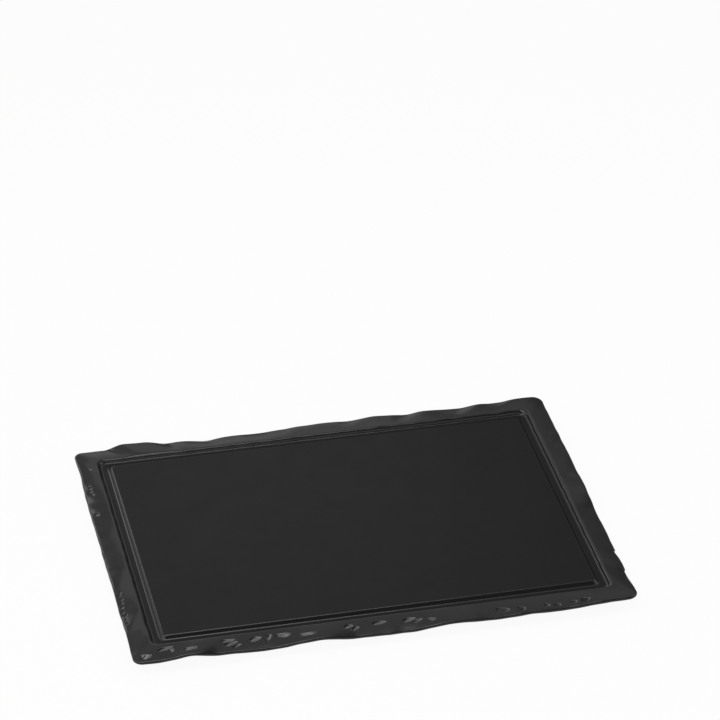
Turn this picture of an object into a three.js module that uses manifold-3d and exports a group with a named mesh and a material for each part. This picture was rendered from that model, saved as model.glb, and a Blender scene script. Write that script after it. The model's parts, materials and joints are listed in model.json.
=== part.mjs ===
// Rectangular serving tray in black-glazed porcelain: a flat panel inside a juice groove, and a rim whose
// outer edge rises and falls as if torn by hand. It stands on four anti-slip pads under its foot ring.
// Millimetres. +Z is up, +X runs along the tray, -Y is the front, and the pads stand on z = 0.
import * as THREE from "three";
import { mergeVertices } from "three/addons/utils/BufferGeometryUtils.js";
import Module from "manifold-3d";

const wasm = await Module();
wasm.setup();

// Plan of the tray
const TRAY_LENGTH = 400;
const TRAY_WIDTH = 300;
const TRAY_CORNER_RADIUS = 7;
const RIM_WIDTH = 17;

// Section through the panel and the rim
const SLAB_THICKNESS = 7.5;
const EDGE_THICKNESS = 3;
const LIP_RISE = 0.5;
const RIM_DROP = 2.2;

// Juice groove between the rim and the panel
const GROOVE_WIDTH = 10.5;
const GROOVE_DEPTH = 3;
const GROOVE_WALL_RUN = 2.2;
const LIP_CORNER_RADIUS = 6;
const PANEL_CORNER_RADIUS = 3;

// Foot ring and kiln ribs under the panel
const FOOT_RING_MARGIN = 3;
const FOOT_RING_WIDTH = 9;
const FOOT_RING_HEIGHT = 5;
const FOOT_CORNER_RADIUS = 10;
const FOOT_DRAFT = 1.5;
const RIB_WIDTH = 8;
const RIB_CORNER_RADIUS = 6;
const BAY_COUNT = 3;

// Anti-slip pads, each held in a pocket by an adhesive disc
const PAD_DIAMETER = 12;
const PAD_HEIGHT = 3.2;
const PAD_CHAMFER = 0.6;
const ADHESIVE_DIAMETER = 11;
const ADHESIVE_THICKNESS = 0.3;
const POCKET_DEPTH = 1.7;
const POCKET_CLEARANCE = 0.5;
const POCKET_WALL = 3;

// Crests and troughs of the edge, counter-clockwise from the front left corner.
// Each pair is a place along its side, from 0 to 1, and a height in shares of WAVE_HEIGHT.
const WAVE_HEIGHT = 2;
const FRONT_WAVES = [
  [0.05, -0.8], [0.11, 0.4], [0.17, -1], [0.26, -1.6], [0.365, 0], [0.44, -1.4], [0.54, -1.7],
  [0.63, -0.25], [0.715, -1], [0.79, -0.5], [0.845, -0.75], [0.95, 0.35],
];
const RIGHT_WAVES = [
  [0.04, 0.8], [0.1, -0.3], [0.16, 0.6], [0.24, -0.2], [0.33, 0.2], [0.39, -0.3], [0.545, 1.6],
  [0.625, 0.8], [0.69, 1.2], [0.79, 0.8], [0.95, 0.6],
];
const BACK_WAVES = [
  [0.04, 1.95], [0.11, 0.9], [0.135, 1.4], [0.18, 0.4], [0.255, 1.25], [0.29, 0.45], [0.36, 1.5],
  [0.42, 0.65], [0.47, 1.15], [0.615, -0.15], [0.67, 0.05], [0.725, -0.75], [0.77, 0.2], [0.805, -0.1],
  [0.855, 2.05], [0.895, 2.4], [0.94, 0.35],
];
const LEFT_WAVES = [
  [0.08, 0.6], [0.3, -0.55], [0.43, 0.3], [0.56, -0.55], [0.67, 0.8], [0.79, -0.15], [0.88, 1],
  [0.96, -0.5],
];

// Fineness of the facets
const LONG_SIDE_STEPS = 40;
const SHORT_SIDE_STEPS = 30;
const CORNER_STEPS = 5;
const RIM_TOP_STEPS = 4;
const EDGE_ROUND_STEPS = 4;
const GROOVE_WALL_STEPS = 5;
const FOOT_ROUND_STEPS = 2;
const ROUND_SEGMENTS = 32;
const CUT_MARGIN = 1;

// Heights above the surface that the tray stands on
const pocketCeiling = PAD_HEIGHT + ADHESIVE_THICKNESS;
const footBottom = pocketCeiling - POCKET_DEPTH;
const slabBottom = footBottom + FOOT_RING_HEIGHT;
const panelTop = slabBottom + SLAB_THICKNESS;
const lipTop = panelTop + LIP_RISE;
const grooveFloor = panelTop - GROOVE_DEPTH;
const edgeRadius = EDGE_THICKNESS / 2;
const edgeTop = lipTop - RIM_DROP;
const edgeCentre = edgeTop - edgeRadius;
const edgeBottom = edgeCentre - edgeRadius;

// Distances in from the outer edge
const panelInset = RIM_WIDTH + GROOVE_WIDTH;
const footInset = panelInset + FOOT_RING_MARGIN;
const bayInset = footInset + FOOT_RING_WIDTH;

// The corners of the foot ring are thick enough to hold a pad pocket on their diagonal
const pocketDiameter = PAD_DIAMETER + 2 * POCKET_CLEARANCE;
const footCornerReach = FOOT_CORNER_RADIUS * (Math.SQRT2 - 1);
const gussetReach = footCornerReach + pocketDiameter + 2 * POCKET_WALL;
const gussetRadius = Math.max(
  RIB_CORNER_RADIUS,
  (gussetReach - Math.SQRT2 * FOOT_RING_WIDTH) / (Math.SQRT2 - 1),
);
const padSetback = footInset + (footCornerReach + gussetReach) / 2 / Math.SQRT2;
const padX = TRAY_LENGTH / 2 - padSetback;
const padY = TRAY_WIDTH / 2 - padSetback;

const glaze = new THREE.MeshStandardMaterial({ color: 0x2c2c2e, roughness: 0.35, metalness: 0 });
const silicone = new THREE.MeshStandardMaterial({ color: 0x3a3a3b, roughness: 0.75, metalness: 0 });
const adhesive = new THREE.MeshStandardMaterial({ color: 0xd9d5c8, roughness: 0.6, metalness: 0 });

// Turns a place on a side, given along it and outwards from the centre, into plan coordinates.
// The sides are numbered counter-clockwise: front, right, back, left.
function placeOnSide(side, along, out) {
  const turns = [[along, -out], [out, along], [-along, out], [-out, -along]];
  return new THREE.Vector2(...turns[side]);
}

// The stations round a rectangle: steps along each straight side, then steps round the corner after it
function stationsRound(longSteps, shortSteps) {
  const stations = [];
  for (let side = 0; side < 4; side += 1) {
    const steps = side % 2 === 0 ? longSteps : shortSteps;
    for (let step = 0; step < steps; step += 1) {
      stations.push({ side, share: step / steps, turn: 0 });
    }
    for (let step = 0; step < CORNER_STEPS; step += 1) {
      stations.push({ side, share: 1, turn: (step / CORNER_STEPS) * (Math.PI / 2) });
    }
  }
  return stations;
}

// A station's place on a rounded rectangle that lies a given distance in from the tray's outer edge
function stationPoint(station, inset, radius) {
  const halfLength = TRAY_LENGTH / 2 - inset;
  const halfWidth = TRAY_WIDTH / 2 - inset;
  const [half, out] = station.side % 2 === 0 ? [halfLength, halfWidth] : [halfWidth, halfLength];
  const straight = half - radius;
  const along = straight * (2 * station.share - 1) + radius * Math.sin(station.turn);
  return placeOnSide(station.side, along, out - radius + radius * Math.cos(station.turn));
}

// All crests and troughs on one closed run round the tray, by their distance from the front left corner
const sideLengths = [TRAY_LENGTH, TRAY_WIDTH, TRAY_LENGTH, TRAY_WIDTH];
const sideStarts = [0, TRAY_LENGTH, TRAY_LENGTH + TRAY_WIDTH, 2 * TRAY_LENGTH + TRAY_WIDTH];
const perimeter = 2 * (TRAY_LENGTH + TRAY_WIDTH);
const crests = [FRONT_WAVES, RIGHT_WAVES, BACK_WAVES, LEFT_WAVES].flatMap((waves, side) =>
  waves.map(([share, height]) => ({
    place: sideStarts[side] + share * sideLengths[side],
    height: height * WAVE_HEIGHT,
  })),
);

// Height of the wave at a station's place on the outer edge, eased between neighbouring crests and troughs
function waveHeight(station) {
  const straight = sideLengths[station.side] - 2 * TRAY_CORNER_RADIUS;
  const round = 2 * TRAY_CORNER_RADIUS * (station.turn / (Math.PI / 2));
  const place = sideStarts[station.side] + TRAY_CORNER_RADIUS + straight * station.share + round;
  const after = crests.findIndex((crest) => crest.place > place);
  const next = crests[Math.max(after, 0)];
  const last = crests.at((after === -1 ? 0 : after) - 1);
  const span = (next.place - last.place + perimeter) % perimeter;
  const run = (place - last.place + perimeter) % perimeter;
  return THREE.MathUtils.lerp(last.height, next.height, THREE.MathUtils.smoothstep(run / span, 0, 1));
}

// How much of the wave the rim follows: none at the straight inner lip, all of it at the outer edge
function waveShare(inset) {
  return THREE.MathUtils.smoothstep(RIM_WIDTH - inset, 0, RIM_WIDTH - edgeRadius);
}

// Joins rows of points into triangles. Row r holds the points of one ring; each ring closes on itself.
function ringTriangles(rowCount, pointCount, rowsClose) {
  const triangles = [];
  const bands = rowsClose ? rowCount : rowCount - 1;
  for (let row = 0; row < bands; row += 1) {
    const above = row * pointCount;
    const below = ((row + 1) % rowCount) * pointCount;
    for (let point = 0; point < pointCount; point += 1) {
      const following = (point + 1) % pointCount;
      triangles.push(above + point, below + point, below + following);
      triangles.push(above + point, below + following, above + following);
    }
  }
  return triangles;
}

// A closed solid between rings that run from its top to its bottom, with a flat cap at each end
function cappedLoft(rings) {
  const count = rings[0].length;
  const points = rings.flat();
  const triangles = ringTriangles(rings.length, count, false);
  const top = points.length;
  const bottom = top + 1;
  points.push(new THREE.Vector3(0, 0, rings[0][0].z));
  points.push(new THREE.Vector3(0, 0, rings.at(-1)[0].z));
  const lastRing = (rings.length - 1) * count;
  for (let point = 0; point < count; point += 1) {
    const following = (point + 1) % count;
    triangles.push(top, point, following);
    triangles.push(bottom, lastRing + following, lastRing + point);
  }
  return new THREE.BufferGeometry().setFromPoints(points).setIndex(triangles);
}

// A closed ring-shaped solid: the rings follow its section round, from the outer wall down and in
function closedLoft(rings) {
  const triangles = ringTriangles(rings.length, rings[0].length, true);
  return new THREE.BufferGeometry().setFromPoints(rings.flat()).setIndex(triangles);
}

function solidFrom(geometry) {
  const bare = geometry.clone();
  bare.deleteAttribute("normal");
  bare.deleteAttribute("uv");
  const merged = mergeVertices(bare);
  const vertProperties = new Float32Array(merged.getAttribute("position").array);
  const triVerts = new Uint32Array(merged.getIndex().array);
  return new wasm.Manifold(new wasm.Mesh({ numProp: 3, vertProperties, triVerts }));
}

function geometryFrom(solid) {
  const mesh = solid.getMesh();
  const geometry = new THREE.BufferGeometry();
  geometry.setAttribute("position", new THREE.BufferAttribute(mesh.vertProperties, 3));
  geometry.setIndex(new THREE.BufferAttribute(mesh.triVerts, 1));
  geometry.computeVertexNormals();
  return geometry;
}

// The slab with its wavy rim and foot, before anything is cut out of it
function slabGeometry() {
  const section = [
    { inset: RIM_WIDTH + GROOVE_WIDTH / 2, z: panelTop, radius: LIP_CORNER_RADIUS },
    { inset: RIM_WIDTH + GROOVE_WALL_RUN / 2, z: lipTop, radius: LIP_CORNER_RADIUS },
  ];
  for (let step = 1; step < RIM_TOP_STEPS; step += 1) {
    const share = step / RIM_TOP_STEPS;
    section.push({
      inset: THREE.MathUtils.lerp(RIM_WIDTH, edgeRadius, share),
      z: THREE.MathUtils.lerp(lipTop, edgeTop, share * share),
      radius: THREE.MathUtils.lerp(LIP_CORNER_RADIUS, TRAY_CORNER_RADIUS, share),
    });
  }
  for (let step = 0; step <= EDGE_ROUND_STEPS; step += 1) {
    const angle = Math.PI * (0.5 - step / EDGE_ROUND_STEPS);
    section.push({
      inset: edgeRadius * (1 - Math.cos(angle)),
      z: edgeCentre + edgeRadius * Math.sin(angle),
      radius: TRAY_CORNER_RADIUS,
    });
  }
  section.push(
    {
      inset: (RIM_WIDTH + edgeRadius) / 2,
      z: (edgeBottom + slabBottom) / 2,
      radius: TRAY_CORNER_RADIUS,
    },
    { inset: RIM_WIDTH, z: slabBottom, radius: TRAY_CORNER_RADIUS },
    { inset: footInset - FOOT_DRAFT, z: slabBottom, radius: FOOT_CORNER_RADIUS + FOOT_DRAFT },
    { inset: footInset, z: footBottom, radius: FOOT_CORNER_RADIUS },
  );
  const stations = stationsRound(LONG_SIDE_STEPS, SHORT_SIDE_STEPS);
  const rings = section.map(({ inset, z, radius }) =>
    stations.map((station) => {
      const plan = stationPoint(station, inset, radius);
      return new THREE.Vector3(plan.x, plan.y, z + waveShare(inset) * waveHeight(station));
    }),
  );
  return cappedLoft(rings);
}

// One wall of the groove from its rim down to the floor, as distances from the rim and heights.
// It starts above the rim, so that the first facet cuts the edge at a slope.
function grooveWall(rimHeight) {
  const wall = [];
  for (let step = 1; step <= GROOVE_WALL_STEPS; step += 1) {
    const share = step / GROOVE_WALL_STEPS;
    const fall = (rimHeight - grooveFloor) * THREE.MathUtils.smoothstep(share, 0, 1);
    wall.push({ run: share * GROOVE_WALL_RUN, z: rimHeight - fall });
  }
  const first = wall[0];
  wall.unshift({ run: -first.run, z: 2 * rimHeight - first.z });
  wall.unshift({ run: -first.run, z: lipTop + CUT_MARGIN });
  return wall;
}

function grooveCutter() {
  const outer = grooveWall(lipTop).map(({ run, z }) => ({ inset: RIM_WIDTH + run, z }));
  const inner = grooveWall(panelTop).map(({ run, z }) => ({ inset: panelInset - run, z }));
  const stations = stationsRound(1, 1);
  const rings = [...outer, ...inner.reverse()].map(({ inset, z }) => {
    const share = THREE.MathUtils.clamp((inset - RIM_WIDTH) / GROOVE_WIDTH, 0, 1);
    const radius = THREE.MathUtils.lerp(LIP_CORNER_RADIUS, PANEL_CORNER_RADIUS, share);
    return stations.map((station) => {
      const plan = stationPoint(station, inset, radius);
      return new THREE.Vector3(plan.x, plan.y, z);
    });
  });
  return closedLoft(rings);
}

// One hollow between the foot ring and the kiln ribs, cut from below, with a rounded ceiling edge
function bayCutter(bay) {
  const ringLength = TRAY_LENGTH - 2 * bayInset;
  const bayLength = (ringLength - (BAY_COUNT - 1) * RIB_WIDTH) / BAY_COUNT;
  const left = -ringLength / 2 + bay * (bayLength + RIB_WIDTH);
  const right = left + bayLength;
  const back = TRAY_WIDTH / 2 - bayInset;
  const leftRadius = bay === 0 ? gussetRadius : RIB_CORNER_RADIUS;
  const rightRadius = bay === BAY_COUNT - 1 ? gussetRadius : RIB_CORNER_RADIUS;
  const quarter = Math.PI / 2;
  const shape = new THREE.Shape();
  shape.absarc(right - rightRadius, -back + rightRadius, rightRadius, -quarter, 0);
  shape.absarc(right - rightRadius, back - rightRadius, rightRadius, 0, quarter);
  shape.absarc(left + leftRadius, back - leftRadius, leftRadius, quarter, 2 * quarter);
  shape.absarc(left + leftRadius, -back + leftRadius, leftRadius, 2 * quarter, 3 * quarter);
  const cutter = new THREE.ExtrudeGeometry(shape, {
    depth: FOOT_RING_HEIGHT + CUT_MARGIN - FOOT_DRAFT,
    curveSegments: CORNER_STEPS,
    bevelEnabled: true,
    bevelThickness: FOOT_DRAFT,
    bevelSize: FOOT_DRAFT,
    bevelOffset: -FOOT_DRAFT,
    bevelSegments: FOOT_ROUND_STEPS,
  });
  return cutter.translate(0, 0, footBottom - CUT_MARGIN);
}

function pocketCutter(x, y) {
  const height = POCKET_DEPTH + CUT_MARGIN;
  const radius = pocketDiameter / 2;
  const cutter = new THREE.CylinderGeometry(radius, radius, height, ROUND_SEGMENTS);
  return cutter.rotateX(Math.PI / 2).translate(x, y, pocketCeiling - height / 2);
}

function trayBodyGeometry(padPlaces) {
  let body = solidFrom(slabGeometry()).subtract(solidFrom(grooveCutter()));
  for (let bay = 0; bay < BAY_COUNT; bay += 1) {
    body = body.subtract(solidFrom(bayCutter(bay)));
  }
  for (const { x, y } of padPlaces) {
    body = body.subtract(solidFrom(pocketCutter(x, y)));
  }
  return geometryFrom(body);
}

// A pad turned about its own axis, standing on z = 0, with a chamfered edge where it meets the table
function footPadGeometry() {
  const radius = PAD_DIAMETER / 2;
  const profile = [
    new THREE.Vector2(0, 0),
    new THREE.Vector2(radius - PAD_CHAMFER, 0),
    new THREE.Vector2(radius, PAD_CHAMFER),
    new THREE.Vector2(radius, PAD_HEIGHT),
    new THREE.Vector2(0, PAD_HEIGHT),
  ];
  return new THREE.LatheGeometry(profile, ROUND_SEGMENTS).rotateX(Math.PI / 2);
}

function adhesiveDiscGeometry() {
  const radius = ADHESIVE_DIAMETER / 2;
  const disc = new THREE.CylinderGeometry(radius, radius, ADHESIVE_THICKNESS, ROUND_SEGMENTS);
  return disc.rotateX(Math.PI / 2).translate(0, 0, PAD_HEIGHT + ADHESIVE_THICKNESS / 2);
}

function namedMesh(name, geometry, material) {
  const mesh = new THREE.Mesh(geometry, material);
  mesh.name = name;
  return mesh;
}

const padPlaces = [
  { corner: "front_left", x: -padX, y: -padY },
  { corner: "front_right", x: padX, y: -padY },
  { corner: "back_left", x: -padX, y: padY },
  { corner: "back_right", x: padX, y: padY },
];

const tray = new THREE.Group();
tray.add(namedMesh("tray_body", trayBodyGeometry(padPlaces), glaze));
for (const { corner, x, y } of padPlaces) {
  const foot = new THREE.Group();
  foot.position.set(x, y, 0);
  foot.add(namedMesh(`foot_pad_${corner}`, footPadGeometry(), silicone));
  foot.add(namedMesh(`adhesive_disc_${corner}`, adhesiveDiscGeometry(), adhesive));
  tray.add(foot);
}

export default tray;
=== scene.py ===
"""Looks of a black-glazed porcelain serving tray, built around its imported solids.

Metres, +Z up. +X runs along the tray, -Y is the front, and the pads stand on z = 0.
"""
import json
import math
import random

import bmesh
import bpy
import numpy as np
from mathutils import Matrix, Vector


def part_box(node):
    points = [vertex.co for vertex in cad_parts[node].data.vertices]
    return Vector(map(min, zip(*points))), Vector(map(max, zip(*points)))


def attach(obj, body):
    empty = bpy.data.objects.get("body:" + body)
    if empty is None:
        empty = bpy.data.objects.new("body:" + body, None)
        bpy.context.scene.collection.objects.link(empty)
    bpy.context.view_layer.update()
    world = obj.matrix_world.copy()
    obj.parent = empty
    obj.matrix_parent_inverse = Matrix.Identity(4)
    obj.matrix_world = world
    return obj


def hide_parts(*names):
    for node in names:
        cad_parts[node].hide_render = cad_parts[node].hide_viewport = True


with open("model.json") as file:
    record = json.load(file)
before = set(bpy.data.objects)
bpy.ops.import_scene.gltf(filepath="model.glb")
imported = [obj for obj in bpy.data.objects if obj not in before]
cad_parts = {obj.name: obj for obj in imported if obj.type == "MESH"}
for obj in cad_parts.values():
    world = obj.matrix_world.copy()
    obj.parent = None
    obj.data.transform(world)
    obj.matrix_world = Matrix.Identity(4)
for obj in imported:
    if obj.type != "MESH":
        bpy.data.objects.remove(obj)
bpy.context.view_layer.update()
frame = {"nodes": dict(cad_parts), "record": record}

MM = 0.001
FULL_TURN = 2 * math.pi
QUARTER_TURN = math.pi / 2
CORNERS = ("front_left", "front_right", "back_left", "back_right")

# The tray's sides, counter-clockwise from its front left corner
SIDES = range(4)
FRONT, RIGHT, BACK, LEFT = SIDES

# Sizes read from the solids
body_low, body_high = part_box("tray_body")
pad_low, pad_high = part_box("foot_pad_front_left")
TRAY_LENGTH = body_high.x - body_low.x
TRAY_WIDTH = body_high.y - body_low.y
FOOT_BOTTOM = body_low.z
PANEL_TOP = next(
    mount["pos_m"][2] for mount in frame["record"]["mounts"] if mount["name"] == "serving_panel"
)
POCKET_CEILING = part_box("adhesive_disc_front_left")[1].z
PAD_DIAMETER = pad_high.x - pad_low.x

# Section through the rim and the groove
TRAY_CORNER_RADIUS = 7 * MM
RIM_WIDTH = 17 * MM
RIM_DROP = 1.5 * MM
EDGE_ROLL = 0.7 * MM
ROLL_START = 0.3
SLAB_THICKNESS = 7.5 * MM
EDGE_RADIUS = 1.5 * MM
LIP_RISE = 0.5 * MM
LIP_ROUND = 1.9 * MM
PANEL_ROUND = 0.9 * MM
GROOVE_WIDTH = 10.5 * MM
GROOVE_DEPTH = 3 * MM
LIP_WALL_RUN = 2 * MM
PANEL_WALL_RUN = 2.7 * MM
GROOVE_FLOOR_ROUND = 1.2 * MM
LIP_CORNER_RADIUS = 6 * MM
PANEL_CORNER_RADIUS = 3 * MM

# Foot ring, ribs, bays and pad pockets
FOOT_RING_MARGIN = 3 * MM
FOOT_RING_WIDTH = 9 * MM
FOOT_CORNER_RADIUS = 10 * MM
FOOT_DRAFT = 1.5 * MM
FOOT_EDGE_ROUND = 0.8 * MM
RIB_WIDTH = 8 * MM
RIB_CORNER_RADIUS = 6 * MM
BAY_COUNT = 3
BAY_DRAFT = 0.5 * MM
BAY_CEILING_INSET = 4.5 * MM
POCKET_CLEARANCE = 0.5 * MM
POCKET_WALL = 3 * MM
POCKET_ROUND = 0.3 * MM

# Anti-slip pads, with grip rings on their standing faces
PAD_ROUND = 0.5 * MM
PAD_EDGE_MARGIN = 0.95 * MM
GRIP_MARGIN = 1 * MM
GRIP_RING_DEPTH = 0.15 * MM
GRIP_RING_PITCH = 0.9 * MM

# Straight run beside the first and the last round of a section, in lengths of that round
ROUND_LEAD = 2
CEILING_LEAD = 3

# Heights, and distances in from the outer edge
LIP_TOP = PANEL_TOP + LIP_RISE
GROOVE_FLOOR = PANEL_TOP - GROOVE_DEPTH
SLAB_BOTTOM = PANEL_TOP - SLAB_THICKNESS
PANEL_INSET = RIM_WIDTH + GROOVE_WIDTH
FOOT_INSET = PANEL_INSET + FOOT_RING_MARGIN
BAY_INSET = FOOT_INSET + FOOT_RING_WIDTH

# The rim falls from the lip, rolls over and runs into the round of its edge at this slope
RIM_RUN = RIM_WIDTH - EDGE_RADIUS
EDGE_SLOPE = math.atan((RIM_DROP + 2 * EDGE_ROLL / (1 - ROLL_START)) / RIM_RUN)
EDGE_START = EDGE_RADIUS * (1 - math.sin(EDGE_SLOPE))

# The foot ring's corners are thick enough to hold a pad pocket on their diagonal
DIAGONAL = math.sqrt(2)
POCKET_DIAMETER = PAD_DIAMETER + 2 * POCKET_CLEARANCE
GUSSET_REACH = FOOT_CORNER_RADIUS * (DIAGONAL - 1) + POCKET_DIAMETER + 2 * POCKET_WALL
GUSSET_RADIUS = max(RIB_CORNER_RADIUS, (GUSSET_REACH - DIAGONAL * FOOT_RING_WIDTH) / (DIAGONAL - 1))

# Crests and troughs of the edge. Each pair is a place along its side, from 0 to 1 counter-clockwise,
# and a height in shares of WAVE_HEIGHT.
WAVE_HEIGHT = 2 * MM
EDGE_WAVES = {
    FRONT: (
        (0.05, -0.8), (0.11, 0.4), (0.17, -1), (0.26, -1.6), (0.365, 0), (0.44, -1.4), (0.54, -1.7),
        (0.63, -0.25), (0.715, -1), (0.79, -0.5), (0.845, -0.75), (0.95, 0.35),
    ),
    RIGHT: (
        (0.04, 0.8), (0.1, -0.3), (0.16, 0.6), (0.24, -0.2), (0.33, 0.2), (0.39, -0.3), (0.545, 1.6),
        (0.625, 0.8), (0.69, 1.2), (0.79, 0.8), (0.95, 0.6),
    ),
    BACK: (
        (0.04, 1.95), (0.11, 0.9), (0.135, 1.4), (0.18, 0.4), (0.255, 1.25), (0.29, 0.45), (0.36, 1.5),
        (0.42, 0.65), (0.47, 1.15), (0.615, 0.1), (0.67, 0.2), (0.725, -0.2), (0.77, 0.35), (0.8, 0.2),
        (0.855, 2.05), (0.895, 2.4), (0.94, 0.35),
    ),
    LEFT: (
        (0.08, 0.6), (0.3, -0.4), (0.43, 0.3), (0.56, -0.1), (0.67, 0.8), (0.79, -0.15), (0.88, 1),
        (0.96, -0.5),
    ),
}

# Hand-pressed flats in the front and left rim. Each is its place along the side, from 0 to 1, its distance
# from the outer edge, half length and half width in millimetres, and its slant in plan, in degrees.
FLATS = {
    FRONT: (
        (0.012, 5, 5.5, 2.3, 0), (0.042, 11, 7, 1.7, -10), (0.058, 9, 4, 1.4, 30), (0.1, 7, 6, 1.8, 0),
        (0.17, 11, 6.5, 1.5, 0), (0.18, 8, 6, 2, -10), (0.196, 5.5, 4.5, 1.2, -20),
        (0.228, 9.5, 5.5, 2.2, -8), (0.256, 9.5, 2.4, 3, 0), (0.285, 10, 7, 2, 8), (0.336, 7, 7.5, 1.6, 4),
        (0.42, 10, 5, 1.6, -10), (0.434, 7.5, 4.5, 1.6, -20), (0.484, 10, 7, 1.6, -4),
        (0.546, 9.5, 6.5, 1.8, -8), (0.562, 7.5, 5, 1.5, -12), (0.59, 6.5, 3.5, 1.5, 15),
        (0.736, 6.5, 6, 2.2, 8), (0.772, 5, 4, 2, 0), (0.825, 5.5, 3, 1.6, 0), (0.845, 4.5, 3.2, 1.6, 0),
        (0.88, 5, 3, 1.6, 0), (0.905, 5.5, 5, 1.8, -5),
    ),
    LEFT: (
        (0.066, 9.8, 2.2, 2, 0), (0.162, 5, 2, 1.4, 0), (0.174, 5.6, 2.2, 1.6, 0), (0.19, 5.4, 2.2, 1.6, 0),
        (0.204, 6.6, 2, 1.4, 0), (0.306, 5.2, 2.4, 2, 0), (0.7, 4.8, 2, 1.4, 0), (0.712, 3.9, 2.4, 1.7, 0),
        (0.728, 4.6, 2.4, 1.7, 0), (0.744, 4.1, 2, 1.5, 0), (0.762, 3.2, 2.2, 1.5, 0),
        (0.78, 3, 2.2, 1.5, 0), (0.8, 4, 2.2, 1.6, 0), (0.822, 3.2, 2.4, 1.7, 0), (0.84, 3.3, 2.6, 1.8, 0),
    ),
}

# Each flat slopes down outwards. The front ones also face left, by a turn that grows along the side.
FLAT_SLOPES = {FRONT: math.tan(math.radians(30)), LEFT: math.tan(math.radians(25))}
FRONT_FLAT_TURN = 0.1
FLAT_CRISPNESS = 3

# Bites out of the edge seen from above. Each is its side, its place along it, and in millimetres its run
# before and after that place and its depth.
EDGE_BITES = (
    (RIGHT, 0.126, 18, 2, 1),
    (RIGHT, 0.222, 22, 2, 1.1),
    (BACK, 0.62, 30, 20, 0.8),
    (BACK, 0.725, 22, 18, 1.8),
    (LEFT, 0.1, 35, 35, 0.9),
)
BITE_REACH = 7 * MM

# Unevenness of the rim and of the lip's line, as waves that go so many times round the tray.
# The rim's waves lean across it by up to RIPPLE_LEAN radians a metre.
UNEVEN_SEED = 11
RIPPLE_HEIGHT = 0.05 * MM
RIPPLE_TURNS = (41, 53, 67, 83)
RIPPLE_LEAN = 0.15 / MM
LIP_WOBBLE = 0.08 * MM
LIP_WOBBLE_REACH = 6 * MM
LIP_WOBBLE_TURNS = (19, 31, 47, 71)

# Fineness and shading of the meshes
STATION_SPACING = 0.8 * MM
CORNER_STEPS = 12
RIM_STEPS = 32
EDGE_STEPS = 12
UNDERSIDE_STEPS = 8
SOFTEN_STEPS = 6
GRIP_STEPS = 40
ROUND_SEGMENTS = 64
PANEL_RINGS = (60 * MM, 30 * MM, 12 * MM, 5 * MM)
LEVEL_TOLERANCE = 0.02 * MM
TRAY_SHARP_ANGLE = math.radians(50)
PAD_SHARP_ANGLE = math.radians(60)

# Most values of a noise lie between these two
NOISE_LOW = 0.3
NOISE_HIGH = 0.7

# Black glaze, worn on the panel to a softer satin than on the rim
RIM_ROUGHNESS = 0.16
RIM_SPECULAR = 0.5
PANEL_ROUGHNESS = 0.4
PANEL_SPECULAR = 0.18
GLAZE_IOR = 1.5
GLAZE_DARK = (0.0055, 0.0055, 0.0057)
GLAZE_PALE = (0.0072, 0.0072, 0.0075)
GLAZE_CLOUDS = {"scale": 22, "detail": 3, "roughness": 0.5}
GLOSS_CLOUDS = {"scale": 55, "detail": 4, "roughness": 0.5}
GLOSS_CHANGE = 0.03
ORANGE_PEEL = {"scale": 420, "detail": 2, "roughness": 0.5}
PEEL_BUMP = {"distance": 0.05 * MM, "strength": 0.4}
GLAZE_SWELL = {"scale": 24, "detail": 1, "roughness": 0.5}
SWELL_BUMP = {"distance": 0.4 * MM, "strength": 0.3}

# Bare clay of the foot ring's face
CLAY_DARK = (0.3, 0.28, 0.25)
CLAY_PALE = (0.42, 0.4, 0.36)
CLAY_ROUGHNESS = 0.85
CLAY_GRAIN = {"scale": 900, "detail": 4, "roughness": 0.7}
CLAY_BUMP = {"distance": 0.05 * MM, "strength": 0.6}

# Silicone of the pads
SILICONE_CLEAN = (0.03, 0.03, 0.031)
SILICONE_DUSTY = (0.05, 0.05, 0.052)
CLEAN_ROUGHNESS = 0.55
DUSTY_ROUGHNESS = 0.75
SILICONE_DUST = {"scale": 600, "detail": 4, "roughness": 0.6}
SILICONE_SKIN = {"scale": 2500, "detail": 2, "roughness": 0.5}
SKIN_BUMP = {"distance": 0.03 * MM, "strength": 0.4}

# Foam of the adhesive discs
FOAM_DARK = (0.62, 0.58, 0.48)
FOAM_PALE = (0.74, 0.71, 0.62)
FOAM_ROUGHNESS = 0.7
FOAM_CELLS = {"scale": 3000, "detail": 3, "roughness": 0.5}
FOAM_BUMP = {"distance": 0.05 * MM, "strength": 0.5}

# The photograph's camera, in millimetres of lens and sensor. It aims aside from and above the panel's
# centre, which sits low in the picture.
CAMERA_LENS = 194.1
CAMERA_SENSOR = 36
CAMERA_ELEVATION = math.radians(31.38)
CAMERA_AZIMUTH = math.radians(12.53)
CAMERA_DISTANCE = 3.121
CAMERA_ASIDE = 9.6 * MM
CAMERA_ABOVE = 130.1 * MM

# The studio's walls: their brightness on the bright and the dark side, by the sine of the height above the
# horizon, and the direction of the bright side with the shares along it where its light starts and is full
BRIGHT_LEVELS = ((0, 0.5), (0.25, 0.75), (0.5, 0.29), (0.75, 0.66), (1, 0.65))
DARK_LEVELS = ((0, 0.1), (0.25, 0.15), (0.5, 0.28), (0.75, 0.14), (1, 0.1))
BRIGHT_SIDE = (-0.9, 0.436, 0.7)
BRIGHT_START = 0.33
BRIGHT_END = 0.55

# The studio's floor, just below the pads, and how much of it shows as plain white
FLOOR_SIZE = 20
FLOOR_HEIGHT = -0.1 * MM
FLOOR_COLOUR = (0.9, 0.9, 0.9)
FLOOR_ROUGHNESS = 0.9
FLOOR_GLOW = 0.94

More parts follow.
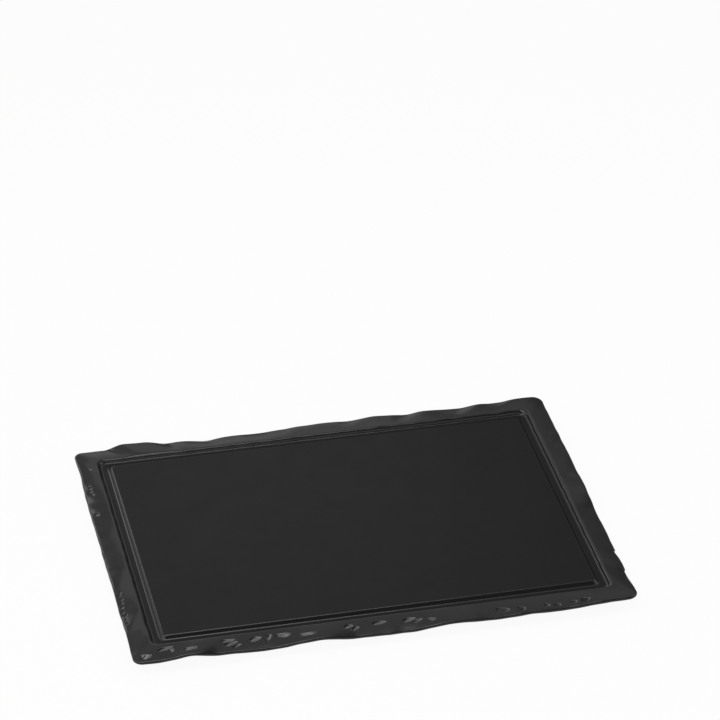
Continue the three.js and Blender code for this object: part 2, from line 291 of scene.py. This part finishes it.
# The studio's lamps. Each is its place, its two sizes, its watts and its colour.
WHITE = (1, 1, 1)
COOL_WHITE = (0.93, 0.92, 1)
LAMPS = {
    "overhead": ((0, -0.16, 1.9), (0.9, 0.32), 3.3, WHITE),
    "front_over": ((-0.2, -0.3, 1), (0.6, 0.5), 1.5, WHITE),
    "left_box": ((-1, -0.1, 0.9), (1.2, 1), 3.2, WHITE),
    "right_box": ((1, -0.1, 0.9), (1.2, 1), 3.2, WHITE),
    "front_box": ((0.1, -1.8, 0.95), (1.6, 0.6), 1.6, WHITE),
    "back_box": ((0.035, 0.62, 0.41), (0.39, 0.42), 0.145, COOL_WHITE),
    "back_left_box": ((-0.43, 0.7, 0.41), (0.16, 0.34), 0.24, WHITE),
}


def smooth(share):
    """Eases a share from 0 to 1, flat at both ends."""
    share = np.clip(share, 0, 1)
    return share * share * (3 - 2 * share)


def is_long(side):
    """Whether a side is one of the two long ones, the front and the back."""
    return side % 2 == 0


def stations_round(spacing):
    """Stations round a rectangle: its side, the share of the straight run, and the turn round the corner."""
    rows = []
    for side in SIDES:
        length = TRAY_LENGTH if is_long(side) else TRAY_WIDTH
        steps = round((length - 2 * TRAY_CORNER_RADIUS) / spacing)
        rows += [(side, step / steps, 0) for step in range(steps)]
        rows += [(side, 1, step / CORNER_STEPS * QUARTER_TURN) for step in range(CORNER_STEPS)]
    side, share, turn = (np.array(column) for column in zip(*rows))
    return side.astype(int), share, turn


STATIONS = stations_round(STATION_SPACING)


def outline(inset, radius):
    """The stations' plan places on a rounded rectangle that lies inset from the tray's outer edge."""
    side, share, turn = STATIONS
    half = np.where(is_long(side), TRAY_LENGTH, TRAY_WIDTH) / 2 - inset
    out = np.where(is_long(side), TRAY_WIDTH, TRAY_LENGTH) / 2 - inset
    along = (half - radius) * (2 * share - 1) + radius * np.sin(turn)
    away = out - radius + radius * np.cos(turn)
    x = np.choose(side, [along, away, -along, -away])
    y = np.choose(side, [-away, along, away, -along])
    return x, y


SIDE_LENGTHS = (TRAY_LENGTH, TRAY_WIDTH, TRAY_LENGTH, TRAY_WIDTH)
SIDE_STARTS = (0, TRAY_LENGTH, TRAY_LENGTH + TRAY_WIDTH, 2 * TRAY_LENGTH + TRAY_WIDTH)
PERIMETER = 2 * (TRAY_LENGTH + TRAY_WIDTH)


def station_places():
    """Each station's distance round the outer edge from the front left corner."""
    side, share, turn = STATIONS
    straight = np.choose(side, SIDE_LENGTHS) - 2 * TRAY_CORNER_RADIUS
    round_part = 2 * TRAY_CORNER_RADIUS * turn / QUARTER_TURN
    return np.choose(side, SIDE_STARTS) + TRAY_CORNER_RADIUS + straight * share + round_part


PLACES = station_places()


def place_of(side, share):
    """Distance round the outer edge of a place along a side."""
    return SIDE_STARTS[side] + share * SIDE_LENGTHS[side]


def apart_from(place):
    """Each station's distance from a place round the edge, the short way."""
    return (PLACES - place + PERIMETER / 2) % PERIMETER - PERIMETER / 2


def wave_heights():
    """The edge's rise and fall at each station, eased between neighbouring crests and troughs."""
    crests = [
        (place_of(side, share), height * WAVE_HEIGHT)
        for side, waves in EDGE_WAVES.items()
        for share, height in waves
    ]
    place, height = (np.array(column) for column in zip(*crests))
    place = np.concatenate(([place[-1] - PERIMETER], place, [place[0] + PERIMETER]))
    height = np.concatenate(([height[-1]], height, [height[0]]))
    after = np.searchsorted(place, PLACES, side="right")
    run = (PLACES - place[after - 1]) / (place[after] - place[after - 1])
    return height[after - 1] + (height[after] - height[after - 1]) * smooth(run)


def wave_share(inset):
    """How much of the wave the rim follows: none at its straight inner lip, all of it at the outer edge."""
    return np.clip((RIM_WIDTH - inset) / RIM_RUN, 0, 1)


def rim_height(inset):
    """Height of the rim's top before the waves: it falls from the lip and rolls over towards the edge."""
    share = (RIM_WIDTH - inset) / RIM_RUN
    roll = max(share - ROLL_START, 0) / (1 - ROLL_START)
    return LIP_TOP - RIM_DROP * share - EDGE_ROLL * roll ** 2


def rim_slope(inset, wave):
    """How steeply the rim falls outwards at an inset where its edge is lifted by a wave."""
    share = (RIM_WIDTH - inset) / RIM_RUN
    roll = max(share - ROLL_START, 0) / (1 - ROLL_START) ** 2
    return (RIM_DROP - wave + 2 * EDGE_ROLL * roll) / RIM_RUN


EDGE_CENTRE = rim_height(EDGE_START) - EDGE_RADIUS * math.cos(EDGE_SLOPE)


def soften(points, rounds):
    """Rounds the corners of an open path of (inset, height) points, each starting its round before it."""
    path = [points[0]]
    for before, corner, after, cut_back in zip(points, points[1:], points[2:], rounds):
        here = Vector(corner)
        start = here + (Vector(before) - here).normalized() * cut_back
        end = here + (Vector(after) - here).normalized() * cut_back
        for step in range(SOFTEN_STEPS + 1):
            share = step / SOFTEN_STEPS
            path.append(tuple(start.lerp(here, share).lerp(here.lerp(end, share), share)))
    path.append(points[-1])
    return path


def groove_section():
    """The groove's path from the panel over both walls to the lip, as insets and heights."""
    rim_start = RIM_WIDTH - ROUND_LEAD * LIP_ROUND
    return soften(
        [
            (PANEL_INSET + ROUND_LEAD * PANEL_ROUND, PANEL_TOP),
            (PANEL_INSET, PANEL_TOP),
            (PANEL_INSET - PANEL_WALL_RUN, GROOVE_FLOOR),
            (RIM_WIDTH + LIP_WALL_RUN, GROOVE_FLOOR),
            (RIM_WIDTH, LIP_TOP),
            (rim_start, rim_height(rim_start)),
        ],
        (PANEL_ROUND, GROOVE_FLOOR_ROUND, GROOVE_FLOOR_ROUND, LIP_ROUND),
    )


def top_section():
    """Rings of the serving side, from the flat panel out over the groove and the rim to the outer edge.

    Each ring is its inset, height, corner radius and the surface's run outwards from the lip.
    """
    rings = []
    for inward in PANEL_RINGS:
        rings.append((PANEL_INSET + inward, PANEL_TOP, PANEL_CORNER_RADIUS))
    for inset, height in groove_section():
        across = min(max((inset - RIM_WIDTH) / GROOVE_WIDTH, 0), 1)
        radius = LIP_CORNER_RADIUS + (PANEL_CORNER_RADIUS - LIP_CORNER_RADIUS) * across
        rings.append((inset, height, radius))
    rim_start = rings[-1][0]
    for step in range(1, RIM_STEPS + 1):
        share = step / RIM_STEPS
        inset = rim_start + (EDGE_START - rim_start) * share
        radius = LIP_CORNER_RADIUS + (TRAY_CORNER_RADIUS - LIP_CORNER_RADIUS) * share
        rings.append((inset, rim_height(inset), radius))
    rings = [(*ring, RIM_WIDTH - ring[0]) for ring in rings]
    for step in range(1, EDGE_STEPS + 1):
        turn = (math.pi - EDGE_SLOPE) * step / EDGE_STEPS
        angle = EDGE_SLOPE + turn
        inset = EDGE_RADIUS * (1 - math.sin(angle))
        height = EDGE_CENTRE + EDGE_RADIUS * math.cos(angle)
        rings.append((inset, height, TRAY_CORNER_RADIUS, RIM_WIDTH - EDGE_START + EDGE_RADIUS * turn))
    return rings


def under_section():
    """Rings of the underside, from the outer edge in and down to the foot ring's standing face.

    Each ring is its inset, height and corner radius, and a run inside the lip, where nothing is worked in.
    """
    edge_bottom = EDGE_CENTRE - EDGE_RADIUS
    rings = []
    for step in range(1, UNDERSIDE_STEPS):
        share = step / UNDERSIDE_STEPS
        inset = EDGE_RADIUS + RIM_RUN * share
        rings.append((inset, edge_bottom + (SLAB_BOTTOM - edge_bottom) * share, TRAY_CORNER_RADIUS))
    path = soften(
        [
            (RIM_WIDTH, SLAB_BOTTOM),
            (FOOT_INSET - FOOT_DRAFT, SLAB_BOTTOM),
            (FOOT_INSET, FOOT_BOTTOM),
            (FOOT_INSET + ROUND_LEAD * FOOT_EDGE_ROUND, FOOT_BOTTOM),
        ],
        (FOOT_EDGE_ROUND, FOOT_EDGE_ROUND),
    )
    for inset, height in path:
        share = (inset - RIM_WIDTH) / (FOOT_INSET - RIM_WIDTH)
        rings.append((inset, height, TRAY_CORNER_RADIUS + (FOOT_CORNER_RADIUS - TRAY_CORNER_RADIUS) * share))
    return [(*ring, -RIM_WIDTH) for ring in rings]


def flat_depths(runs, waves):
    """Depth of the pressed flats at every ring and station, each cut as a plane that slopes down outwards."""
    depths = np.zeros((len(runs), len(PLACES)))
    wave_slopes = np.gradient(waves, PLACES)
    for side, rows in FLATS.items():
        for share, inset, half_length, half_width, slant in rows:
            apart = apart_from(place_of(side, share))[None, :]
            across = (runs - RIM_WIDTH + inset * MM)[:, None]
            turn = math.radians(slant)
            long_way = (apart * math.cos(turn) + across * math.sin(turn)) / (half_length * MM)
            short_way = (across * math.cos(turn) - apart * math.sin(turn)) / (half_width * MM)
            inside = np.clip(FLAT_CRISPNESS * (1 - long_way ** 2 - short_way ** 2), 0, 1)
            here = np.argmin(np.abs(apart))
            lean_along = wave_slopes[here] * wave_share(inset * MM)
            if side == FRONT:
                lean_along = min(lean_along - FRONT_FLAT_TURN * share, 0)
            lean_out = FLAT_SLOPES[side] - rim_slope(inset * MM, waves[here])
            middle = math.hypot(lean_along * half_length, lean_out * half_width) * MM
            depth = np.maximum(middle + lean_along * apart + lean_out * across, 0)
            depths = np.maximum(depths, depth * inside)
    return depths


def edge_bites():
    """How far the outer edge is bitten in at each station."""
    total = np.zeros(len(PLACES))
    for side, share, before, after, depth in EDGE_BITES:
        apart = apart_from(place_of(side, share))
        reach = np.where(apart < 0, before, after) * MM
        total = np.maximum(total, depth * MM * smooth(1 - np.abs(apart) / reach))
    return total


def ripple(runs):
    """Low, slow unevenness of the hand-finished rim, growing from the lip outwards."""
    draw = random.Random(UNEVEN_SEED)
    total = np.zeros((len(runs), len(PLACES)))
    for turns in RIPPLE_TURNS:
        phase = draw.uniform(0, FULL_TURN)
        lean = draw.uniform(-RIPPLE_LEAN, RIPPLE_LEAN)
        angle = FULL_TURN * turns * PLACES / PERIMETER + phase
        total += np.sin(angle[None, :] + lean * runs[:, None])
    return total * RIPPLE_HEIGHT * smooth(runs / RIM_RUN)[:, None]


def lip_wobble():
    """How far the lip strays from its straight line at each station."""
    draw = random.Random(UNEVEN_SEED)
    total = np.zeros(len(PLACES))
    for turns in LIP_WOBBLE_TURNS:
        total += np.sin(FULL_TURN * turns * PLACES / PERIMETER + draw.uniform(0, FULL_TURN))
    return total * LIP_WOBBLE


def ring_grid():
    """Every ring's points, with the waves, the bites, the ripple and the flats worked into the rim."""
    top = top_section()
    section = top + under_section()
    waves = wave_heights()
    bites = edge_bites()
    wobble = lip_wobble()
    grid = np.zeros((len(section), len(PLACES), 3))
    for row, (inset, height, radius, _) in enumerate(section):
        strayed = inset + bites * smooth(1 - inset / BITE_REACH)
        if row < len(top):
            strayed += wobble * smooth(1 - abs(inset - RIM_WIDTH) / LIP_WOBBLE_REACH)
        grid[row, :, 0], grid[row, :, 1] = outline(strayed, radius)
        grid[row, :, 2] = height + wave_share(inset) * waves
    runs = np.array([run for _, _, _, run in section])
    round_edge = np.roll(grid, -1, axis=1) - np.roll(grid, 1, axis=1)
    outwards = np.gradient(grid, axis=0)
    normals = np.cross(outwards, round_edge)
    normals /= np.linalg.norm(normals, axis=2, keepdims=True)
    lift = np.where(runs[:, None] > 0, ripple(runs) - flat_depths(runs, waves), 0)
    return grid + normals * lift[:, :, None], section


def new_ring(mesh, points):
    """One vertex for each point of a ring."""
    return [mesh.verts.new(point) for point in points]


def ring_edges(mesh, ring):
    """The edges that join a ring's vertices."""
    return [mesh.edges.get((ring[index - 1], ring[index])) for index in range(len(ring))]


def bridge(mesh, first, second, look=0):
    """Joins two closed rings of vertices with a band of faces in one of the piece's materials."""
    count = len(first)
    for index in range(count):
        following = (index + 1) % count
        face = mesh.faces.new((first[index], second[index], second[following], first[following]))
        face.material_index = look


def rounded_rectangle(low, high, radii):
    """Plan points of a rounded rectangle, counter-clockwise, with a radius for its left and right corners."""
    left_radius, right_radius = radii
    arcs = (
        (high[0] - right_radius, low[1] + right_radius, right_radius),
        (high[0] - right_radius, high[1] - right_radius, right_radius),
        (low[0] + left_radius, high[1] - left_radius, left_radius),
        (low[0] + left_radius, low[1] + left_radius, left_radius),
    )
    points = []
    for corner, (x, y, radius) in enumerate(arcs):
        for step in range(CORNER_STEPS + 1):
            angle = (corner - 1 + step / CORNER_STEPS) * QUARTER_TURN
            points.append((x + radius * math.cos(angle), y + radius * math.sin(angle)))
    return points


def circle(centre, radius):
    """Plan points of a circle."""
    angles = [FULL_TURN * step / ROUND_SEGMENTS for step in range(ROUND_SEGMENTS)]
    return [(centre.x + radius * math.cos(angle), centre.y + radius * math.sin(angle)) for angle in angles]


def add_hollow(mesh, path, plan_at):
    """A hollow in the standing face: rings up a path, then its ceiling. Returns its mouth's ring."""
    rings = []
    for inward, height in path:
        rings.append(new_ring(mesh, [(x, y, height) for x, y in plan_at(inward)]))
    for first, second in zip(rings, rings[1:]):
        bridge(mesh, second, first)
    mesh.faces.new(rings[-1][::-1])
    return rings[0]


def add_bay(mesh, bay):
    """One hollow between the foot ring and the ribs."""
    ring_length = TRAY_LENGTH - 2 * BAY_INSET
    length = (ring_length - (BAY_COUNT - 1) * RIB_WIDTH) / BAY_COUNT
    left = -ring_length / 2 + bay * (length + RIB_WIDTH)
    half_width = TRAY_WIDTH / 2 - BAY_INSET
    left_radius = GUSSET_RADIUS if bay == 0 else RIB_CORNER_RADIUS
    right_radius = GUSSET_RADIUS if bay == BAY_COUNT - 1 else RIB_CORNER_RADIUS
    path = soften(
        [
            (-ROUND_LEAD * FOOT_EDGE_ROUND, FOOT_BOTTOM),
            (0, FOOT_BOTTOM),
            (BAY_DRAFT, SLAB_BOTTOM),
            (BAY_CEILING_INSET, SLAB_BOTTOM),
        ],
        (FOOT_EDGE_ROUND, FOOT_EDGE_ROUND),
    )

    def plan_at(inward):
        return rounded_rectangle(
            (left + inward, -half_width + inward),
            (left + length - inward, half_width - inward),
            (left_radius - inward, right_radius - inward),
        )

    return add_hollow(mesh, path, plan_at)


def add_pocket(mesh, corner):
    """One round pocket for a pad."""
    low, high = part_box(f"foot_pad_{corner}")
    path = soften(
        [
            (-ROUND_LEAD * POCKET_ROUND, FOOT_BOTTOM),
            (0, FOOT_BOTTOM),
            (0, POCKET_CEILING),
            (CEILING_LEAD * POCKET_ROUND, POCKET_CEILING),
        ],
        (POCKET_ROUND, POCKET_ROUND),
    )
    return add_hollow(mesh, path, lambda inward: circle((low + high) / 2, POCKET_DIAMETER / 2 - inward))


class Nodes:
    """A short way to lay out a material's nodes and join them."""

    def __init__(self, name):
        self.material = bpy.data.materials.new(name)
        self.material.use_nodes = True
        self.tree = self.material.node_tree
        self.shader = self.tree.nodes["Principled BSDF"]
        self.place = self.add("ShaderNodeTexCoord").outputs["Object"]

    def add(self, kind, **settings):
        """A new node with some of its settings."""
        node = self.tree.nodes.new(kind)
        for name, value in settings.items():
            setattr(node, name, value)
        return node

    def join(self, source, target):
        """Feeds one socket into another."""
        self.tree.links.new(source, target)

    def noise(self, scale, detail, roughness):
        """A noise over the object."""
        node = self.add("ShaderNodeTexNoise")
        node.inputs["Scale"].default_value = scale
        node.inputs["Detail"].default_value = detail
        node.inputs["Roughness"].default_value = roughness
        self.join(self.place, node.inputs["Vector"])
        return node.outputs["Fac"]

    def spread(self, source, low, high, start=NOISE_LOW, end=NOISE_HIGH):
        """Stretches the values between start and end, so that they run from low to high."""
        node = self.add("ShaderNodeMapRange")
        node.inputs["From Min"].default_value = start
        node.inputs["From Max"].default_value = end
        node.inputs["To Min"].default_value = low
        node.inputs["To Max"].default_value = high
        self.join(source, node.inputs["Value"])
        return node.outputs["Result"]

    def colour(self, noise, first, second):
        """Lets the shader's colour wander between two tones."""
        node = self.add("ShaderNodeMix", data_type="RGBA")
        node.inputs["A"].default_value = (*first, 1)
        node.inputs["B"].default_value = (*second, 1)
        self.join(self.spread(noise, 0, 1), node.inputs["Factor"])
        self.join(node.outputs["Result"], self.shader.inputs["Base Color"])

    def sum(self, first, second):
        """The sum of two values, up to 1."""
        node = self.add("ShaderNodeMath", operation="ADD", use_clamp=True)
        self.join(first, node.inputs[0])
        self.join(second, node.inputs[1])
        return node.outputs["Value"]

    def bump(self, height, distance, strength, below=None):
        """A bump, on top of another one if that is given."""
        node = self.add("ShaderNodeBump")
        node.inputs["Strength"].default_value = strength
        node.inputs["Distance"].default_value = distance
        self.join(height, node.inputs["Height"])
        if below:
            self.join(below, node.inputs["Normal"])
        return node.outputs["Normal"]


def glaze_material(name, roughness, specular):
    """Black glaze, a little cloudy in colour and gloss, with a faint orange peel."""
    nodes = Nodes(name)
    nodes.colour(nodes.noise(**GLAZE_CLOUDS), GLAZE_DARK, GLAZE_PALE)
    gloss = nodes.spread(nodes.noise(**GLOSS_CLOUDS), roughness - GLOSS_CHANGE, roughness + GLOSS_CHANGE)
    nodes.join(gloss, nodes.shader.inputs["Roughness"])
    peel = nodes.bump(nodes.noise(**ORANGE_PEEL), **PEEL_BUMP)
    swell = nodes.bump(nodes.noise(**GLAZE_SWELL), **SWELL_BUMP, below=peel)
    nodes.join(swell, nodes.shader.inputs["Normal"])
    nodes.shader.inputs["IOR"].default_value = GLAZE_IOR
    nodes.shader.inputs["Specular IOR Level"].default_value = specular
    return nodes.material


def clay_material():
    """The bare ground face of the foot ring."""
    nodes = Nodes("bare_foot")
    grain = nodes.noise(**CLAY_GRAIN)
    nodes.colour(grain, CLAY_DARK, CLAY_PALE)
    nodes.join(nodes.bump(grain, **CLAY_BUMP), nodes.shader.inputs["Normal"])
    nodes.shader.inputs["Roughness"].default_value = CLAY_ROUGHNESS
    return nodes.material


def silicone_material():
    """Moulded silicone, a little dusty."""
    nodes = Nodes("silicone")
    dust = nodes.noise(**SILICONE_DUST)
    nodes.colour(dust, SILICONE_CLEAN, SILICONE_DUSTY)
    nodes.join(nodes.spread(dust, CLEAN_ROUGHNESS, DUSTY_ROUGHNESS), nodes.shader.inputs["Roughness"])
    nodes.join(nodes.bump(nodes.noise(**SILICONE_SKIN), **SKIN_BUMP), nodes.shader.inputs["Normal"])
    return nodes.material


def adhesive_material():
    """The pale foam of the adhesive discs."""
    nodes = Nodes("adhesive")
    cells = nodes.noise(**FOAM_CELLS)
    nodes.colour(cells, FOAM_DARK, FOAM_PALE)
    nodes.join(nodes.bump(cells, **FOAM_BUMP), nodes.shader.inputs["Normal"])
    nodes.shader.inputs["Roughness"].default_value = FOAM_ROUGHNESS
    return nodes.material


def floor_material():
    """A pale floor that looks white to the eye and in reflections, and still takes a faint shadow."""
    nodes = Nodes("floor")
    nodes.shader.inputs["Base Color"].default_value = (*FLOOR_COLOUR, 1)
    nodes.shader.inputs["Roughness"].default_value = FLOOR_ROUGHNESS
    rays = nodes.add("ShaderNodeLightPath").outputs
    seen = nodes.sum(nodes.sum(rays["Is Camera Ray"], rays["Is Glossy Ray"]), rays["Is Transmission Ray"])
    glow = nodes.add("ShaderNodeEmission")
    mix = nodes.add("ShaderNodeMixShader")
    nodes.join(nodes.spread(seen, 0, FLOOR_GLOW, start=0, end=1), mix.inputs["Fac"])
    nodes.join(nodes.shader.outputs["BSDF"], mix.inputs[1])
    nodes.join(glow.outputs["Emission"], mix.inputs[2])
    nodes.join(mix.outputs["Shader"], nodes.tree.nodes["Material Output"].inputs["Surface"])
    return nodes.material


def finish_piece(mesh, name, materials, sharp_angle):
    """Turns a bmesh into a smooth-shaded object that rides on the tray's body."""
    bmesh.ops.recalc_face_normals(mesh, faces=mesh.faces)
    data = bpy.data.meshes.new(name)
    mesh.to_mesh(data)
    mesh.free()
    for material in materials:
        data.materials.append(material)
    data.shade_smooth()
    data.set_sharp_from_angle(angle=sharp_angle)
    piece = bpy.data.objects.new(name, data)
    bpy.context.scene.collection.objects.link(piece)
    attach(piece, "root")
    return piece


def make_tray():
    """The tray's body: rings from the panel to the foot, then the standing face with its hollows."""
    looks = [
        glaze_material("rim_glaze", RIM_ROUGHNESS, RIM_SPECULAR),
        glaze_material("panel_glaze", PANEL_ROUGHNESS, PANEL_SPECULAR),
        clay_material(),
    ]
    rim_look, panel_look, foot_look = range(len(looks))
    mesh = bmesh.new()
    grid, section = ring_grid()
    rings = [new_ring(mesh, points) for points in grid]
    for first, second, (inset, height, _, _) in zip(rings, rings[1:], section[1:]):
        level = min(abs(height - PANEL_TOP), abs(height - GROOVE_FLOOR)) < LEVEL_TOLERANCE
        flat = level and inset > RIM_WIDTH + LIP_WALL_RUN
        bridge(mesh, first, second, panel_look if flat else rim_look)
    mesh.faces.new(rings[0]).material_index = panel_look
    mouths = [add_bay(mesh, bay) for bay in range(BAY_COUNT)]
    mouths += [add_pocket(mesh, corner) for corner in CORNERS]
    loops = [edge for ring in [rings[-1], *mouths] for edge in ring_edges(mesh, ring)]
    filled = bmesh.ops.triangle_fill(mesh, use_beauty=True, edges=loops)
    for part in filled["geom"]:
        if isinstance(part, bmesh.types.BMFace):
            part.material_index = foot_look
    piece = finish_piece(mesh, "glazed_tray", looks, TRAY_SHARP_ANGLE)
    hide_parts("tray_body")


def make_pad(corner, material):
    """A moulded pad with a rounded edge and shallow grip rings on its standing face."""
    node = f"foot_pad_{corner}"
    low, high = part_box(node)
    radius = PAD_DIAMETER / 2
    profile = []
    for reach in np.linspace(GRIP_RING_PITCH / 2, radius - GRIP_MARGIN, GRIP_STEPS):
        wave = (1 - math.cos(reach / GRIP_RING_PITCH * FULL_TURN)) / 2
        profile.append((reach, low.z + GRIP_RING_DEPTH * wave))
    profile += soften(
        [
            (radius - PAD_EDGE_MARGIN, low.z),
            (radius, low.z),
            (radius, high.z),
            (radius - CEILING_LEAD * PAD_ROUND, high.z),
        ],
        (PAD_ROUND, PAD_ROUND),
    )
    mesh = bmesh.new()
    rings = []
    for reach, height in profile:
        rings.append(new_ring(mesh, [(x, y, height) for x, y in circle((low + high) / 2, reach)]))
    for first, second in zip(rings, rings[1:]):
        bridge(mesh, first, second)
    mesh.faces.new(rings[0])
    mesh.faces.new(rings[-1])
    piece = finish_piece(mesh, f"silicone_pad_{corner}", [material], PAD_SHARP_ANGLE)
    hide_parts(node)


def dress_disc(corner, material):
    """Gives the solid of an adhesive disc its look."""
    disc = frame["nodes"][f"adhesive_disc_{corner}"]
    disc.data.materials.clear()
    disc.data.materials.append(material)


def make_camera():
    """The camera, turned and moved as the photograph's was."""
    back = Vector((
        -math.sin(CAMERA_AZIMUTH) * math.cos(CAMERA_ELEVATION),
        -math.cos(CAMERA_AZIMUTH) * math.cos(CAMERA_ELEVATION),
        math.sin(CAMERA_ELEVATION),
    ))
    right = Vector((math.cos(CAMERA_AZIMUTH), -math.sin(CAMERA_AZIMUTH), 0))
    offset = back * CAMERA_DISTANCE + right * CAMERA_ASIDE + back.cross(right) * CAMERA_ABOVE
    data = bpy.data.cameras.new("camera")
    data.lens = CAMERA_LENS
    data.sensor_width = CAMERA_SENSOR
    camera = bpy.data.objects.new("camera", data)
    camera.location = Vector((0, 0, PANEL_TOP)) + offset
    camera.rotation_mode = "QUATERNION"
    camera.rotation_quaternion = (-back).to_track_quat("-Z", "Y")
    bpy.context.scene.collection.objects.link(camera)
    bpy.context.scene.camera = camera


def make_lamp(name, place, size, watts, colour):
    """A soft rectangular lamp that points at the tray."""
    data = bpy.data.lights.new(name, "AREA")
    data.shape = "RECTANGLE"
    data.size, data.size_y = size
    data.energy = watts
    data.color = colour
    lamp = bpy.data.objects.new(name, data)
    lamp.location = place
    lamp.rotation_mode = "QUATERNION"
    lamp.rotation_quaternion = (-Vector(place)).to_track_quat("-Z", "Y")
    bpy.context.scene.collection.objects.link(lamp)


def add_ramp(tree, levels, height):
    """A ramp of greys by the sine of the height above the horizon, from 0 to 1."""
    ramp = tree.nodes.new("ShaderNodeValToRGB")
    stops = ramp.color_ramp.elements
    for position, _ in levels[1:-1]:
        stops.new(position)
    for stop, (_, level) in zip(stops, levels):
        stop.color = (level, level, level, 1)
    tree.links.new(height, ramp.inputs["Fac"])
    return ramp.outputs["Color"]


def make_world():
    """A grey studio, bright to the back left of the tray and above it, and dark on the other side."""
    world = bpy.data.worlds.new("studio")
    world.use_nodes = True
    tree = world.node_tree
    direction = tree.nodes.new("ShaderNodeTexCoord").outputs["Generated"]
    height = tree.nodes.new("ShaderNodeSeparateXYZ")
    tree.links.new(direction, height.inputs["Vector"])
    towards = tree.nodes.new("ShaderNodeVectorMath")
    towards.operation = "DOT_PRODUCT"
    towards.inputs[1].default_value = BRIGHT_SIDE
    tree.links.new(direction, towards.inputs[0])
    share = tree.nodes.new("ShaderNodeMapRange")
    share.interpolation_type = "SMOOTHSTEP"
    share.inputs["From Min"].default_value = BRIGHT_START
    share.inputs["From Max"].default_value = BRIGHT_END
    tree.links.new(towards.outputs["Value"], share.inputs["Value"])
    mix = tree.nodes.new("ShaderNodeMix")
    mix.data_type = "RGBA"
    tree.links.new(share.outputs["Result"], mix.inputs["Factor"])
    tree.links.new(add_ramp(tree, DARK_LEVELS, height.outputs["Z"]), mix.inputs["A"])
    tree.links.new(add_ramp(tree, BRIGHT_LEVELS, height.outputs["Z"]), mix.inputs["B"])
    tree.links.new(mix.outputs["Result"], tree.nodes["Background"].inputs["Color"])
    bpy.context.scene.world = world


def make_floor():
    """The floor that the tray stands on."""
    mesh = bmesh.new()
    bmesh.ops.create_grid(mesh, x_segments=1, y_segments=1, size=FLOOR_SIZE)
    data = bpy.data.meshes.new("floor")
    mesh.to_mesh(data)
    mesh.free()
    data.materials.append(floor_material())
    floor = bpy.data.objects.new("floor", data)
    floor.location.z = FLOOR_HEIGHT
    bpy.context.scene.collection.objects.link(floor)


def make_studio():
    """The floor, the world and the lamps."""
    make_floor()
    make_world()
    for name, (place, size, watts, colour) in LAMPS.items():
        make_lamp(name, place, size, watts, colour)
    bpy.context.scene.view_settings.view_transform = "Standard"


make_camera()
make_tray()
pad_look = silicone_material()
disc_look = adhesive_material()
for corner_name in CORNERS:
    make_pad(corner_name, pad_look)
    dress_disc(corner_name, disc_look)
make_studio()
